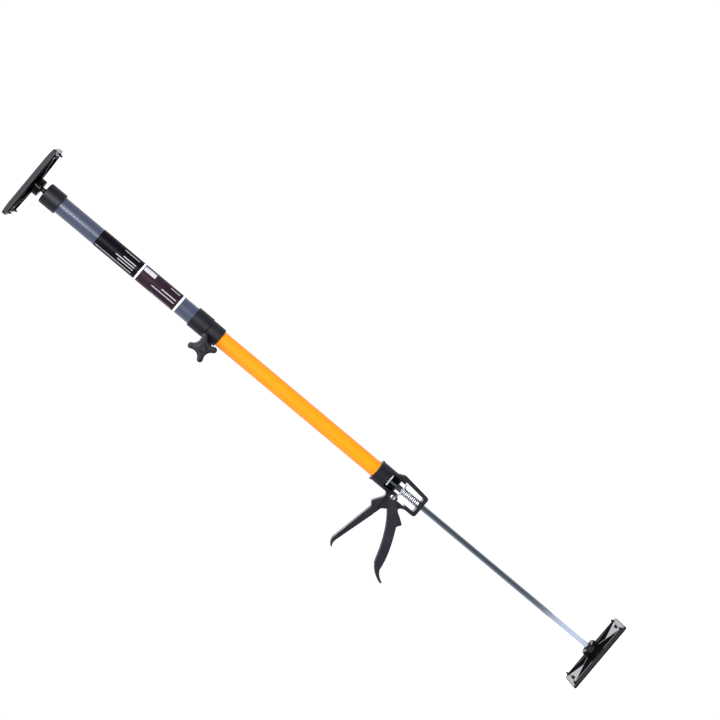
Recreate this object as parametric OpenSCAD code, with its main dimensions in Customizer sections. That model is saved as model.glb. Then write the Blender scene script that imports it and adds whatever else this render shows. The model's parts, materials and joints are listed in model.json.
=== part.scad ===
// Telescopic support pole for holding boards up while they are fixed: a clamped telescopic tube, a trigger
// that feeds a steel rod, and a swivelling pad at each end. The pole stands on its floor pad at full length.
// Z runs up the pole from the middle of the floor pad's contact face, the handles point to -X, the knob to -Y.

/* [Lengths along the pole] */
// Rod travel into the tubes
rod_travel = 338; // [250:1:338]
// Rod that still shows when it is pushed right in
rod_left = 7.6; // [4:0.1:20]
// Travel of the outer tube over the inner tube
tube_travel = 312; // [300:1:330]
// Inner tube that still shows when the tubes are pushed together
tube_left = 4.7; // [2:0.1:20]
// Length of the neck between the end cap and the ceiling pad
neck_l = 7; // [6:0.1:12]

/* [Tubes and rod] */
// Outer diameter of the outer tube
outer_d = 29.4; // [29.1:0.1:30.6]
// Wall of the outer tube
outer_wall = 1.2; // [1:0.05:1.3]
// Outer diameter of the inner tube
inner_d = 26.2; // [25.6:0.1:26.4]
// Wall of the inner tube
inner_wall = 1; // [0.8:0.1:1.2]
// Diameter of the feed rod
rod_d = 9.5; // [8:0.1:9.6]
// Length of the printed wrap on the outer tube
label_l = 160.3; // [80:0.1:190]
// Thickness of the printed wrap
label_t = 0.25; // [0.15:0.05:0.4]
// Wrap's lower edge above the collar
label_up = 27.3; // [10:0.1:50]

/* [Fits] */
// Radial clearance of a part that runs or is pressed in its hole
fit = 0.05; // [0.02:0.01:0.1]
// Gap between pieces that move against each other
gap = 0.3; // [0.2:0.05:0.4]

/* [Pads] */
// Length of a pad
pad_l = 125; // [110:1:150]
// Depth of a pad
pad_w = 72; // [60:1:90]
// Corner radius of a pad
pad_corner_r = 4; // [2:0.5:8]
// Thickness of the floor pad's rubber sole
floor_sole_t = 3.2; // [2.6:0.1:6]
// How much thinner it is at its two ends
floor_relief = 0.4; // [0.2:0.1:1]
// Thickness of the ceiling pad's rubber sole at its middle
ceiling_sole_t = 6.2; // [5:0.1:9]
// How much thinner it is at its two ends
ceiling_relief = 2; // [0.5:0.1:3]
// Length of a sole's flat middle
rubber_flat = 76; // [40:1:90]
// Depth of the grooves round a sole's edge and along its face
groove = 0.6; // [0.3:0.1:0.9]
// Rim of the sole that wraps the plate's edge
rim_t = 1.6; // [1.2:0.1:2.4]
// Thickness of the pad's plate
plate_t = 1.8; // [1.6:0.1:3]
// Height of the ribs on the plate
rib_h = 1.8; // [1:0.1:3]
// Height of the four webs at the socket
web_h = 5.6; // [4:0.1:8]
// Thickness of the ribs and webs
rib_t = 1.8; // [1.2:0.1:3]
// Rib lines inside the pad's two ends
rib_in_x = 7.6; // [6:0.1:14]
// Rib lines inside the pad's two long edges
rib_in_y = 5; // [4.5:0.1:8]
// Height of the posts where the ribs cross
post_h = 4.8; // [4:0.1:7]
// Diameter of those posts
post_d = 3; // [2:0.1:4]
// Outer diameter of the socket
hub_d = 28.3; // [25:0.1:31]
// Diameter of the ball
ball_d = 13; // [12:0.1:13.4]
// Thickness of the liner round the ball
liner_t = 1.6; // [1.2:0.1:1.8]
// Thickness of the retaining ring
ring_t = 3.2; // [3:0.1:3.6]
// Snap fingers on the retaining ring
ring_fingers = 8; // [6:1:12]
// Turn of the ceiling pad about the pole
ceiling_turn = -4; // [-15:1:15]

/* [End cap and collar] */
// Outer diameter of the end cap
cap_d = 35; // [33.5:0.1:38]
// Length of the end cap
cap_l = 30.1; // [20:0.1:40]
// Thickness of the end cap's top
cap_t = 5; // [4:0.1:6]
// Outer diameter of the collar's sleeve
collar_d = 34; // [33:0.1:37]
// Length of the collar's sleeve on the outer tube
collar_l = 29.2; // [20:0.1:40]
// Outer diameter of the collar's clamp ring
clamp_d = 31.6; // [30:0.1:33]
// Length of the clamp ring
clamp_l = 24.7; // [22:0.1:30]
// Width of the slit between the clamp's ears
slit = 1.6; // [1:0.1:3]
// Width of the slit between the collar's sleeve and its clamp ring
ring_slit = 0.8; // [0.6:0.1:2]
// Thickness of one clamp ear
ear_t = 7; // [6.4:0.1:8]
// Height of a clamp ear
ear_h = 17; // [15:0.1:18]

/* [Clamp screw and knob] */
// Distance of the screw from the pole's axis
screw_x = 27.4; // [26.5:0.1:32]
// Diameter of the screw
screw_d = 6; // [5:0.1:6.4]
// Width of the nut and the screw head across flats
nut_af = 10; // [9:0.1:11]
// Thickness of the nut
nut_t = 5; // [4:0.1:5.5]
// Thickness of the washer
washer_t = 0.9; // [0.6:0.1:1.4]
// Radius from the knob's middle to the tip of a lobe
knob_r = 22.9; // [20:0.1:24]
// Radius of the round at a lobe's tip
knob_tip_r = 4.9; // [4:0.1:5.2]
// Radius of the knob's waist between the lobes
knob_waist_r = 12; // [10:0.1:12.6]
// Thickness of the lobes
knob_t = 8.5; // [6:0.1:10]
// Turn of the knob as it is clamped
knob_turn = 28; // [0:1:89]

/* [Trigger housing] */
// Outer diameter of the housing's sleeve
sleeve_d = 34.5; // [33:0.1:37]
// Outer diameter of the lip at the sleeve's mouth
lip_d = 36.5; // [35:0.1:40]
// Depth of the socket for the inner tube
socket_l = 19.4; // [15:0.1:30]
// Thickness of the walls that guide the rod
guide_t = 3.2; // [2.5:0.1:5]
// Length of the brake chamber
chamber_l = 16.1; // [14:0.1:18]
// Width of the brake chamber
chamber_w = 23; // [21:0.1:24]
// Wall behind the brake chamber
chamber_wall = 1.6; // [1.2:0.1:2]
// Thickness of the frame's end wall
end_wall_t = 6.2; // [5:0.1:9]
// Thickness of the frame front to back
frame_t = 18; // [17:0.1:20]
// Thickness of the frame's side bars
bar_t = 5.7; // [4:0.1:8]
// Thickness of the web between the lever's cheeks
web_t = 9; // [8:0.1:10]
// Thickness of both handles front to back
handle_t = 15.6; // [15:0.1:18]

/* [Trigger and drive] */
// Distance of the trigger's pivot from the rod's axis
pivot_x = 16.5; // [16:0.1:17]
// Diameter of the pivot rivet
rivet_d = 5; // [4:0.1:6]
// Diameter of the rivet's head
rivet_head_d = 8.6; // [7:0.1:10]
// Radius of the lever's round top
lever_r = 8; // [7:0.1:8.4]
// Thickness of a drive plate
drive_t = 1.2; // [0.8:0.1:1.5]
// Length of a drive plate
drive_l = 24.4; // [23:0.1:25]
// Diameter of the drive spring
spring_d = 14; // [13:0.1:15.5]
// Diameter of its wire
spring_wire = 1.6; // [1.2:0.1:1.8]
// Length of the drive spring
spring_l = 33.8; // [30:0.1:40]
// Turns of the drive spring
spring_turns = 10; // [8:1:11]
// Thickness of the brake plate
brake_t = 2; // [1.5:0.1:2.4]
// Width of the brake plate
brake_w = 18.2; // [16:0.1:18.4]
// How far the brake plate sits off the rod's axis
brake_off = 1; // [0:0.1:1]
// How far the brake plate stands out of the housing
brake_tab = 3.5; // [2:0.1:8]
// Diameter of the brake spring
brake_spring_d = 6; // [5:0.1:6.4]
// Diameter of its wire
brake_wire = 0.8; // [0.6:0.05:1]
// Turns of the brake spring
brake_turns = 5; // [4:1:6]
// Length of the rod guide
guide_l = 10; // [8:0.1:11]

/* [Hidden] */
$fn = 96;

black = [0.15, 0.15, 0.17];
steel = [0.72, 0.73, 0.75];

ball_r = ball_d / 2;
rod_r = rod_d / 2;
outer_r = outer_d / 2;
inner_r = inner_d / 2;
bore_r = outer_r - outer_wall;
core_r = inner_r - inner_wall;
hub_r = hub_d / 2;
liner_r = ball_r + gap + liner_t;
cavity_r = liner_r + gap;

// Heights in a pad, measured from the plate's face against its rubber sole
socket_floor = 2.2;
ball_up = socket_floor + ball_r + 0.5;
ring_up = ball_up + cavity_r * sin(27.5);
lip_r = cavity_r * cos(37.5);
pad_h = ring_up + ring_t;

// Flange and spigot of the bush in the inner tube's top end
flange_t = 3;
spigot_l = 8;
bush_up = 0.5;
stud_head_t = 1.5;
outer_l = tube_travel + bush_up + flange_t + stud_head_t + gap / 2 + 0.35;

// Heights up the pole
ball_z = floor_sole_t + ball_up;
end_z = floor_sole_t + pad_h + rod_travel + rod_left;
window_z = end_z + end_wall_t;
plate_z = window_z + spring_l;
stack_gap = 0.2;
nose_z = plate_z + 2 * drive_t + stack_gap + gap;
nose_u = 2.8;
pivot_z = nose_z + nose_u;
bay_z = pivot_z + 6.5;
chamber_z = bay_z + 2.2;
guide_z = chamber_z + chamber_l;
socket_z = guide_z + guide_t;
mouth_z = socket_z + socket_l;
clamp_z = mouth_z + tube_travel + tube_left;
seat_z = clamp_z + clamp_l;
outer_top = seat_z + outer_l;
cap_z = outer_top + cap_t;
top_ball_z = cap_z + neck_l + pad_h - ball_up;
pole_h = cap_z + neck_l + pad_h + ceiling_sole_t;
inner_top = seat_z + bush_up;

// Clamp screw
screw_z = clamp_z + clamp_l / 2;
ear_y = slit / 2 + ear_t;
lobe_y = collar_d / 2 + 1;
knob_boss_t = 1.2;

// The brake plate sits near the top of its chamber
brake_z = guide_z - 1.2;
brake_back = sleeve_d / 2 - 4;
brake_spring_y = rod_r + 0.8 + brake_spring_d / 2;

echo(pole_h = pole_h, end_z = end_z, pivot_z = pivot_z, plate_z = plate_z, brake_z = brake_z);
echo(screw_z = screw_z, clamp_z = clamp_z, seat_z = seat_z, cap_z = cap_z, top_ball_z = top_ball_z);
echo(floor_ball_z = ball_z, window_z = window_z, chamber_z = chamber_z, brake_back = brake_back);

// Points of an arc, from angle a to angle b
function arc(c, r, a, b, n = 8) = [for (i = [0:n]) let (t = a + (b - a) * i / n) c + r * [cos(t), sin(t)]];

// Points of a cubic curve from p to s, drawn towards q and r
function curve(p, q, r, s, n = 8) = [for (i = [0:n])
    let (t = i / n, m = 1 - t) m * m * m * p + 3 * m * m * t * q + 3 * m * t * t * r + t * t * t * s];

// A profile in radius and height, turned about the pole
module turned(points) {
    rotate_extrude() polygon(points);
}

module tube(r, bore, z, h) {
    translate([0, 0, z]) difference() {
        cylinder(r = r, h = h);
        translate([0, 0, -1]) cylinder(r = bore, h = h + 2);
    }
}

// A cylinder along Y from y0 to y1
module pin_y(r, y0, y1) {
    translate([0, y0, 0]) rotate([-90, 0, 0]) cylinder(r = r, h = y1 - y0);
}

module hex_y(af, y0, y1) {
    translate([0, y0, 0]) rotate([-90, 0, 0]) cylinder(d = af / cos(30), h = y1 - y0, $fn = 6);
}

module at_pivot() {
    translate([-pivot_x, 0, pivot_z]) children();
}

// A side outline, given as [down, out] from the trigger's pivot, with thickness t front to back
module side_plate(points, t) {
    at_pivot() rotate([90, 0, 0]) linear_extrude(t, center = true) polygon([for (p = points) [-p[1], -p[0]]]);
}

// A side outline in [x, z] of the pole, with thickness t front to back
module front_plate(points, t) {
    rotate([90, 0, 0]) linear_extrude(t, center = true) polygon(points);
}

// Rings of a helix tube: 8 a turn, 6 corners each
function helix_at(r, h, turns, i) = let (a = 360 * i / 8) [r * cos(a), r * sin(a), h * i / (8 * turns)];
function helix_ring(r, h, turns, wire, i) =
    let (a = 360 * i / 8, c = helix_at(r, h, turns, i),
        rise = atan(h / (turns * 2 * PI * r)),
        out = [cos(a), sin(a), 0],
        up = [sin(a) * sin(rise), -cos(a) * sin(rise), cos(rise)])
    [for (k = [0:5]) c + wire / 2 * (cos(60 * k) * out + sin(60 * k) * up)];

module helix(r, h, turns, wire) {
    n = 8 * turns;
    points = [for (i = [0:n]) each helix_ring(r, h, turns, wire, i)];
    sides = [for (i = [0:n - 1], k = [0:5], half = [0, 1])
        let (a = 6 * i + k, b = 6 * i + (k + 1) % 6)
        half == 0 ? [a, a + 6, b] : [b, a + 6, b + 6]];
    ends = [for (k = [1:4]) each [[0, k, k + 1], [6 * n, 6 * n + k + 1, 6 * n + k]]];
    polyhedron(points, concat(sides, ends));
}

// Least distance between the corners of one turn and those of the next
function helix_gap(r, h, turns, wire) =
    min([for (i = [0:7], j = [7:9]) each
        [for (p = helix_ring(r, h, turns, wire, i), q = helix_ring(r, h, turns, wire, i + j)) norm(p - q)]]);

echo(drive_spring_least_gap = helix_gap((spring_d - spring_wire) / 2, spring_l - spring_wire - 2 * 0.15,
    spring_turns, spring_wire));
echo(brake_spring_least_gap = helix_gap((brake_spring_d - brake_wire) / 2,
    brake_z - brake_t - chamber_z - brake_wire - 2 * 0.15, brake_turns, brake_wire));

// Pads, drawn with the plate's face against the sole at z = 0 and the socket upwards

module pad_outline(inset = 0) {
    r = pad_corner_r - inset;
    x = pad_l / 2 - pad_corner_r;
    y = pad_w / 2 - pad_corner_r;
    polygon(concat(arc([x, y], r, 0, 90), arc([-x, y], r, 90, 180), arc([-x, -y], r, 180, 270),
        arc([x, -y], r, 270, 360)));
}

// Sole with a rim round the plate, thinner towards its two ends, grooved round its edge and along its face
module pad_rubber(sole_t, relief) {
    end = pad_l / 2;
    flat = rubber_flat / 2;
    difference() {
        intersection() {
            translate([0, 0, -sole_t]) linear_extrude(sole_t + plate_t) pad_outline();
            front_plate(concat(curve([flat, -sole_t], [(flat + end) / 2, -sole_t], [end, relief * 0.6 - sole_t],
                [end, relief - sole_t], 6), [[end, plate_t], [-end, plate_t]], curve([-end, relief - sole_t],
                [-end, relief * 0.6 - sole_t], [-(flat + end) / 2, -sole_t], [-flat, -sole_t], 6)), pad_w);
        }
        linear_extrude(plate_t + 1) pad_outline(rim_t);
        for (z = [-0.15 * sole_t, -0.72 * (sole_t - relief)]) translate([0, 0, z - 0.3]) linear_extrude(0.6)
            difference() {
                square([pad_l + 4, pad_w + 4], center = true);
                pad_outline(groove);
            }
        for (side = [-1, 1], i = [1:3]) translate([-end - 1, side * i * pad_w / 8 - 1, -sole_t - 1])
            cube([pad_l + 2, 2, 1 + groove]);
    }
}

module pad_plate() {
    rib_x = pad_l / 2 - rib_in_x;
    rib_y = pad_w / 2 - rib_in_y;
    reach = norm([rib_x, rib_y]);
    sunk = plate_t - 0.1;
    stub_l = 5;
    difference() {
        union() {
            linear_extrude(plate_t) pad_outline(rim_t + fit);
            cylinder_z(hub_r, sunk, ring_up);
            for (sx = [-1, 1]) {
                translate([sx * rib_x - rib_t / 2, -rib_y - 1.5, sunk]) cube([rib_t, 2 * rib_y + 3, rib_h + 0.1]);
                translate([sx * (rib_x - stub_l / 2) - stub_l / 2, -rib_t / 2, sunk]) cube([stub_l, rib_t, rib_h + 1.1]);
            }
            for (sy = [-1, 1]) translate([-rib_x - 3, sy * rib_y - rib_t / 2, sunk])
                cube([2 * rib_x + 6, rib_t, rib_h + 0.1]);
            for (sx = [-1, 1], sy = [-1, 1]) {
                translate([sx * rib_x, sy * rib_y, 0]) cylinder_z(post_d / 2, sunk, plate_t + post_h);
                rotate([0, 0, atan2(sy * rib_y, sx * rib_x)]) translate([0, rib_t / 2, sunk]) rotate([90, 0, 0])
                    linear_extrude(rib_t) polygon([[cavity_r + 2, 0], [reach, 0], [reach, rib_h - 0.2], [hub_r, web_h],
                        [cavity_r + 2, web_h]]);
            }
        }
        cylinder_z(cavity_r, ball_up, ring_up + 1);
        intersection() {
            translate([0, 0, ball_up]) sphere(r = cavity_r);
            cylinder_z(cavity_r + 1, socket_floor, ball_up + 1);
        }
    }
}

module cylinder_z(r, z0, z1) {
    translate([0, 0, z0]) cylinder(r = r, h = z1 - z0);
}

// The ring closes the socket over the liner; its top is slit into snap fingers
module socket_ring() {
    finger_h = 2.2;
    slope = arc([0, ball_up], cavity_r, 27.5, 37.5, 4);
    difference() {
        turned(concat([[hub_r, ring_up]], slope, [[lip_r + 1.1, pad_h], [hub_r - 1, pad_h], [hub_r, pad_h - 1]]));
        for (i = [0:ring_fingers - 1]) rotate([0, 0, (i + 0.5) * 360 / ring_fingers])
            translate([lip_r + 1.6, -0.9, pad_h - finger_h]) cube([hub_r, 1.8, finger_h + 1]);
        tube(hub_r - 1.6, hub_r - 2.6, pad_h - 0.8, 2);
    }
}

// Split spherical shell between ball and socket
module ball_liner() {
    difference() {
        translate([0, 0, ball_up]) sphere(r = liner_r);
        translate([0, 0, ball_up]) sphere(r = ball_r + gap);
        cylinder_z(liner_r + 1, ball_up + liner_r * sin(24.5), ball_up + liner_r + 1);
        cylinder_z(liner_r + 1, ball_up - liner_r - 1, ball_up - liner_r * sin(32.5));
        translate([0, -0.75, ball_up - liner_r]) cube([liner_r + 1, 1.5, 2 * liner_r]);
    }
}

module at_ceiling() {
    translate([0, 0, pole_h - ceiling_sole_t]) rotate([0, 0, ceiling_turn]) mirror([0, 0, 1]) children();
}

module at_floor() {
    translate([0, 0, floor_sole_t]) children();
}

module ceiling_pad_plate() {
    color(black) at_ceiling() pad_plate();
}

module ceiling_pad_rubber() {
    color([0.35, 0.33, 0.35]) at_ceiling() pad_rubber(ceiling_sole_t, ceiling_relief);
}

module ceiling_socket_ring() {
    color([0.3, 0.3, 0.33]) at_ceiling() socket_ring();
}

module ceiling_ball_liner() {
    color([0.8, 0.8, 0.76]) at_ceiling() ball_liner();
}

// Ball, waisted neck, shank through the cap's top and the head peened over inside it
module ceiling_ball_stud() {
    neck_r = 4.2;
    waist_r = 3.9;
    shank_r = 4;
    head_r = 6;
    cut = asin(neck_r / ball_r);
    from = cap_z + gap / 2;
    to = top_ball_z - ball_r * cos(cut);
    under = outer_top - gap / 2;
    color(black) turned(concat([[0, under - stud_head_t], [head_r - 0.6, under - stud_head_t], [head_r, under - 0.8],
        [head_r, under], [shank_r, under], [shank_r, from], [neck_r + 0.9, from], [neck_r + 0.9, from + 0.8]],
        curve([neck_r, from + 1.4], [waist_r - 0.2, from + 3], [waist_r - 0.2, to - 3], [neck_r, to]),
        arc([0, top_ball_z], ball_r, cut - 90, 90, 24)));
}

module end_cap() {
    r = cap_d / 2;
    round_r = 2.4;
    foot_z = cap_z - cap_l;
    color(black) turned(concat([[4 + fit, cap_z], [r - round_r, cap_z]],
        arc([r - round_r, cap_z - round_r], round_r, 80, 10, 6),
        [[r, cap_z - round_r], [r, foot_z + 0.8], [r - 0.8, foot_z], [outer_r + 0.6, foot_z],
        [outer_r + fit, foot_z + 0.6], [outer_r + fit, outer_top], [4 + fit, outer_top]]));
}

module outer_tube() {
    color([0.38, 0.42, 0.5]) tube(outer_r, bore_r, seat_z, outer_l);
}

module tube_label() {
    color([0.18, 0.16, 0.2]) tube(outer_r + label_t, outer_r + 0.02, seat_z + collar_l + label_up, label_l);
}

module at_screw() {
    translate([-screw_x, 0, screw_z]) children();
}

// Sleeve on the outer tube and a split ring that the screw draws shut on the inner tube
module clamp_collar() {
    r = collar_d / 2;
    ring_r = clamp_d / 2;
    top = seat_z + collar_l;
    color(black) difference() {
        union() {
            turned(concat([[inner_r + fit, clamp_z + 0.4], [inner_r + fit + 0.4, clamp_z]],
                arc([ring_r - 1.8, clamp_z + 1.8], 1.8, -90, 0, 5), [[ring_r, seat_z - 0.6], [r - 0.8, seat_z - 0.6],
                [r, seat_z + 0.2], [r, top - 0.8], [r - 0.8, top], [outer_r + fit, top], [outer_r + fit, seat_z],
                [inner_r + fit, seat_z]]));
            difference() {
                at_screw() {
                    pin_y(ear_h / 2, -ear_y, ear_y);
                    translate([0, -ear_y, -ear_h / 2]) cube([screw_x - inner_r + 4, 2 * ear_y, ear_h]);
                }
                cylinder_z(inner_r + fit, clamp_z, seat_z);
            }
        }
        translate([-screw_x - ear_h, -slit / 2, clamp_z - 1]) cube([screw_x + ear_h, slit, clamp_l - 0.6]);
        translate([-r - 1, -r - 1, seat_z - 0.6 - ring_slit]) cube([r + 5, 2 * r + 2, ring_slit]);
        at_screw() {
            pin_y(screw_d / 2 + 0.1, -ear_y - 1, ear_y + 1);
            hex_y(nut_af + 2 * fit, ear_y - nut_t, ear_y + 1);
        }
    }
}

module clamp_nut() {
    color(steel) at_screw() difference() {
        hex_y(nut_af, ear_y - nut_t, ear_y);
        pin_y(screw_d / 2 + fit, ear_y - nut_t - 1, ear_y + 1);
    }
}

module clamp_washer() {
    y = -ear_y - gap / 2;
    color(steel) at_screw() difference() {
        pin_y(screw_d + 0.5, y - washer_t, y);
        pin_y(screw_d / 2 + fit, y - washer_t - 1, y + 1);
    }
}

module screw_solid(grow = 0) {
    head_y = -lobe_y - 1;
    pin_y(screw_d / 2 + grow, head_y - 1, ear_y + 1.5);
    hex_y(nut_af + 2 * grow, head_y - 4 - grow, head_y);
}

module clamp_bolt() {
    color(steel) at_screw() screw_solid();
}

// Four lobes whose waists are round cuts, on a stem that clears the collar
module clamp_knob() {
    tip = knob_r - knob_tip_r;
    cut_d = (tip * tip + knob_tip_r * knob_tip_r - knob_waist_r * knob_waist_r)
        / (sqrt(2) * (tip + knob_tip_r) - 2 * knob_waist_r);
    cut_r = cut_d - knob_waist_r;
    front = lobe_y + knob_t;
    stem_y = ear_y + gap / 2 + washer_t;
    color(black) at_screw() difference() {
        union() {
            pin_y(7.5, -front + 1, -stem_y);
            rotate([90, knob_turn * -1, 0]) translate([0, 0, lobe_y]) {
                translate([0, 0, 1]) lobes(tip, cut_d, cut_r, knob_t - 2);
                intersection() {
                    lobes(tip, cut_d, cut_r, knob_t);
                    rotate_extrude() polygon([[0, 0], [knob_r - 1.2, 0], [knob_r + 0.2, 1.4],
                        [knob_r + 0.2, knob_t - 1.4], [knob_r - 1.2, knob_t], [0, knob_t]]);
                }
                translate([0, 0, knob_t - 0.1]) cylinder(r1 = 7.5, r2 = 6, h = knob_boss_t + 0.1);
            }
        }
        screw_solid(fit);
    }
}

module lobes(tip, cut_d, cut_r, h) {
    linear_extrude(h) {
        difference() {
            circle(r = tip + 0.4);
            for (i = [0:3]) rotate(45 + 90 * i) translate([cut_d, 0]) circle(r = cut_r);
        }
        for (i = [0:3]) rotate(90 * i) translate([tip, 0]) circle(r = knob_tip_r);
    }
}

module inner_tube() {
    color([0.99, 0.68, 0.05]) tube(inner_r, core_r, socket_z, inner_top - socket_z);
}

module tube_guide_bush() {
    color([0.85, 0.84, 0.8]) turned([[core_r - 1.8, inner_top - spigot_l], [core_r - fit, inner_top - spigot_l],
        [core_r - fit, inner_top], [bore_r - 0.1, inner_top], [bore_r - 0.1, inner_top + flange_t],
        [core_r - 1.8, inner_top + flange_t]]);
}

// Outlines beside the trigger's pivot, as [down, out]
function handle_back() = concat(
    curve([-12.4, 2.2], [-10.4, 5.4], [-10.8, 7.4], [-13, 10.8], 5),
    [[-20.9, 22.4], [-22, 24.7], [-21.4, 26.4], [-17.6, 31], [-17.4, 34]],
    curve([-31.8, 107.5], [-32.2, 112.6], [-28.8, 118.2], [-24.4, 121], 6),
    curve([-23.4, 120], [-26.4, 116.6], [-27, 111], [-24.9, 105], 6));

// Ends of the drive plates over the web, and the room they need there
plate_v = drive_l / 2 - 0.2 - pivot_x + 0.4;
plate_u = nose_u - 0.4;
seat_r = 6.5;

web_points = concat([[-17, -9], [-17, -2], [-13.5, 0.6]], handle_back(), [[-7.4, 42], [-4, 31]],
    curve([-3.6, 28], [-2.8, 24.2], [0.6, 23.4], [4.2, 20.6], 5),
    [[10.5, 14.4], [18, 12.2]],
    curve([19, 11.4], [18.4, 7.6], [21.4, 5.4], [26.5, 4.2], 5),
    [[26.5, -1.9], [22.3, 0.8]], arc([0, 0], seat_r, 7, asin(plate_v / seat_r), 5), [[plate_u, plate_v],
    [plate_u, -sqrt(seat_r * seat_r - plate_u * plate_u)], [-5.8, -6.8], [-5.8, -9]]);

grip_points = concat([[-13.5, 0.6]], handle_back(), [[-7.4, 42], [-5.4, 31], [-8.8, 27], [-9.4, 8], [-11.5, 3]]);

module frame_body() {
    peak = [bar_t + 16.4, bay_z - 1.1];
    foot_x = bar_t + 11.8;
    low_x = bar_t + 14.3;
    front_plate(concat([[sleeve_d / 2 - 0.6, chamber_z + 7.4], [peak[0] - 1.4, peak[1] + 1.9], peak,
        [peak[0] - 0.2, peak[1] - 3]],
        arc([foot_x - 4.5, end_z + 4.5], 4.5, 0, -90, 6), arc([-low_x + 5, end_z + 5], 5, 270, 180, 6),
        [[-low_x, pivot_z - 24.2], [-14.3, pivot_z - 22.4], [-8, pivot_z - 20], [-8, chamber_z + 7.4]]), frame_t);
}

module frame_window() {
    side = frame_t + 40;
    round_r = 2.5;
    front_plate(concat([[10.6, bay_z], [10.6, pivot_z - 1.5], [14.8, pivot_z - 1.6]],
        arc([12 - round_r, window_z + round_r], round_r, 0, -90, 5),
        arc([-14.3 + round_r, window_z + round_r], round_r, 270, 180, 5),
        [[-14.3, pivot_z - 22.4], [-9.7, pivot_z - 8], [-9.7, bay_z]]), side);
}

// Everything in front of the pole's axis, and a half round behind it, at the brake's height
module open_front(r) {
    cylinder_z(r, chamber_z - 1, guide_z + 1);
    translate([-2 * r, -4 * r, chamber_z - 1]) cube([4 * r, 4 * r, chamber_l + 2]);
}

module trigger_housing() {
    r = sleeve_d / 2;
    fulcrum = 1.8;
    color(black) difference() {
        union() {
            turned([[0, bay_z], [r, bay_z], [r, mouth_z - 5], [lip_d / 2, mouth_z - 2], [lip_d / 2, mouth_z - 0.8],
                [lip_d / 2 - 0.8, mouth_z], [0, mouth_z]]);
            difference() {
                frame_body();
                frame_window();
            }
            side_plate(web_points, web_t);
            side_plate(grip_points, handle_t);
        }
        for (s = [-1, 1]) at_pivot() pin_y(lever_r + 0.6, min(s * web_t / 2, s * 30), max(s * web_t / 2, s * 30));
        cylinder_z(inner_r + fit, socket_z, mouth_z + 1);
        cylinder_z(rod_r + 0.1, end_z - 1, mouth_z);
        intersection() {
            difference() {
                translate([-chamber_w / 2, -r - 1, chamber_z]) cube([chamber_w, r + 1 + brake_back + gap, chamber_l]);
                translate([-chamber_w / 2, brake_back + gap - fulcrum, brake_z + gap])
                    cube([chamber_w, fulcrum, guide_z - brake_z]);
            }
            open_front(r - chamber_wall);
        }
        at_pivot() pin_y(rivet_d / 2 + fit, -20, 20);
    }
}

module pivot_rivet() {
    y = handle_t / 2 + gap / 2;
    head_r = rivet_head_d / 2;
    color(steel) at_pivot() rotate([90, 0, 0]) rotate_extrude() polygon(concat(
        [[0, -y - 1.4], [head_r - 0.9, -y - 1.4], [head_r - 0.4, -y], [rivet_d / 2, -y], [rivet_d / 2, y], [head_r, y],
        [head_r, y + 0.8]], curve([head_r - 0.4, y + 1.3], [head_r - 1.4, y + 2.1], [2.4, y + 2.1], [1.8, y + 1.9], 5),
        [[1.1, y + 0.9], [0, y + 0.9]]));
}

lever_points = concat([[nose_u, -4.4], [nose_u, -7.3]], arc([0, 0], lever_r, -75, -175, 12),
    [[-7.9, 2.4], [4.8, 19.1]],
    curve([6, 20.6], [25, 42], [36, 70], [43.8, 95.1], 10),
    curve([44.9, 97.2], [48.8, 103.4], [56.6, 111.3], [68.4, 115.6], 6), [[72, 115.9], [73.2, 114.7], [72.8, 113.4]],
    curve([69.2, 111.6], [62.8, 108.4], [58.4, 103.2], [57.3, 98.6], 6),
    curve([57, 95], [55.2, 82], [49.4, 62], [34.6, 33.4], 10),
    [[34.6, 31.2], [38.4, 26.2], [38.6, 24.6], [36.8, 22.8], [29, 17.6], [21, 12.8]], arc([0, 0], lever_r, 0, -20, 3),
    [[7.2, -3.6]]);

slot_points = concat([[-14, -12], [24, -12], [24, 13], [17.9, 13], [29.4, 30]],
    curve([31.2, 33.4], [45.8, 62], [51.8, 82], [53.4, 97], 10), [[36, 97], [13, 60], [-14, 20]]);

module trigger_lever() {
    color([0.17, 0.17, 0.2]) difference() {
        side_plate(lever_points, handle_t);
        side_plate(slot_points, web_t + 2 * gap);
        at_pivot() pin_y(rivet_d / 2 + 0.1, -20, 20);
    }
}

module drive_plate(z) {
    color(steel) difference() {
        translate([-drive_l / 2 + 0.2, -8, z]) cube([drive_l, 16, drive_t]);
        cylinder_z(rod_r + fit, z - 1, z + drive_t + 1);
    }
}

module drive_plate_a() {
    drive_plate(plate_z + drive_t + stack_gap);
}

module drive_plate_b() {
    drive_plate(plate_z);
}

module drive_spring() {
    color(steel) translate([0, 0, window_z + spring_wire / 2 + 0.15])
        helix((spring_d - spring_wire) / 2, spring_l - spring_wire - 2 * 0.15, spring_turns, spring_wire);
}

// Seated on the ledge at the chamber's back, with a thumb tab that stands out in front
module brake_plate() {
    front = sleeve_d / 2 + brake_tab;
    color([0.9, 0.9, 0.92]) difference() {
        intersection() {
            translate([brake_off - brake_w / 2, -front, brake_z - brake_t]) cube([brake_w, front + brake_back, brake_t]);
            open_front(sleeve_d / 2 - chamber_wall - gap);
        }
        cylinder_z(rod_r + gap, brake_z - brake_t - 1, brake_z + 1);
    }
}

module brake_spring() {
    color([0.3, 0.3, 0.32]) translate([0, brake_spring_y, chamber_z + brake_wire / 2 + 0.15])
        helix((brake_spring_d - brake_wire) / 2, brake_z - brake_t - chamber_z - brake_wire - 2 * 0.15,
            brake_turns, brake_wire);
}

spigot_r = 3;
shoulder_z = ball_z + ball_r * cos(45) + gap;
guide_end = socket_z + 0.5;
rod_top = guide_end + guide_l + 2.7;
pin_z = guide_end + guide_l / 2;
pin_r = 1.25;

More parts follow.
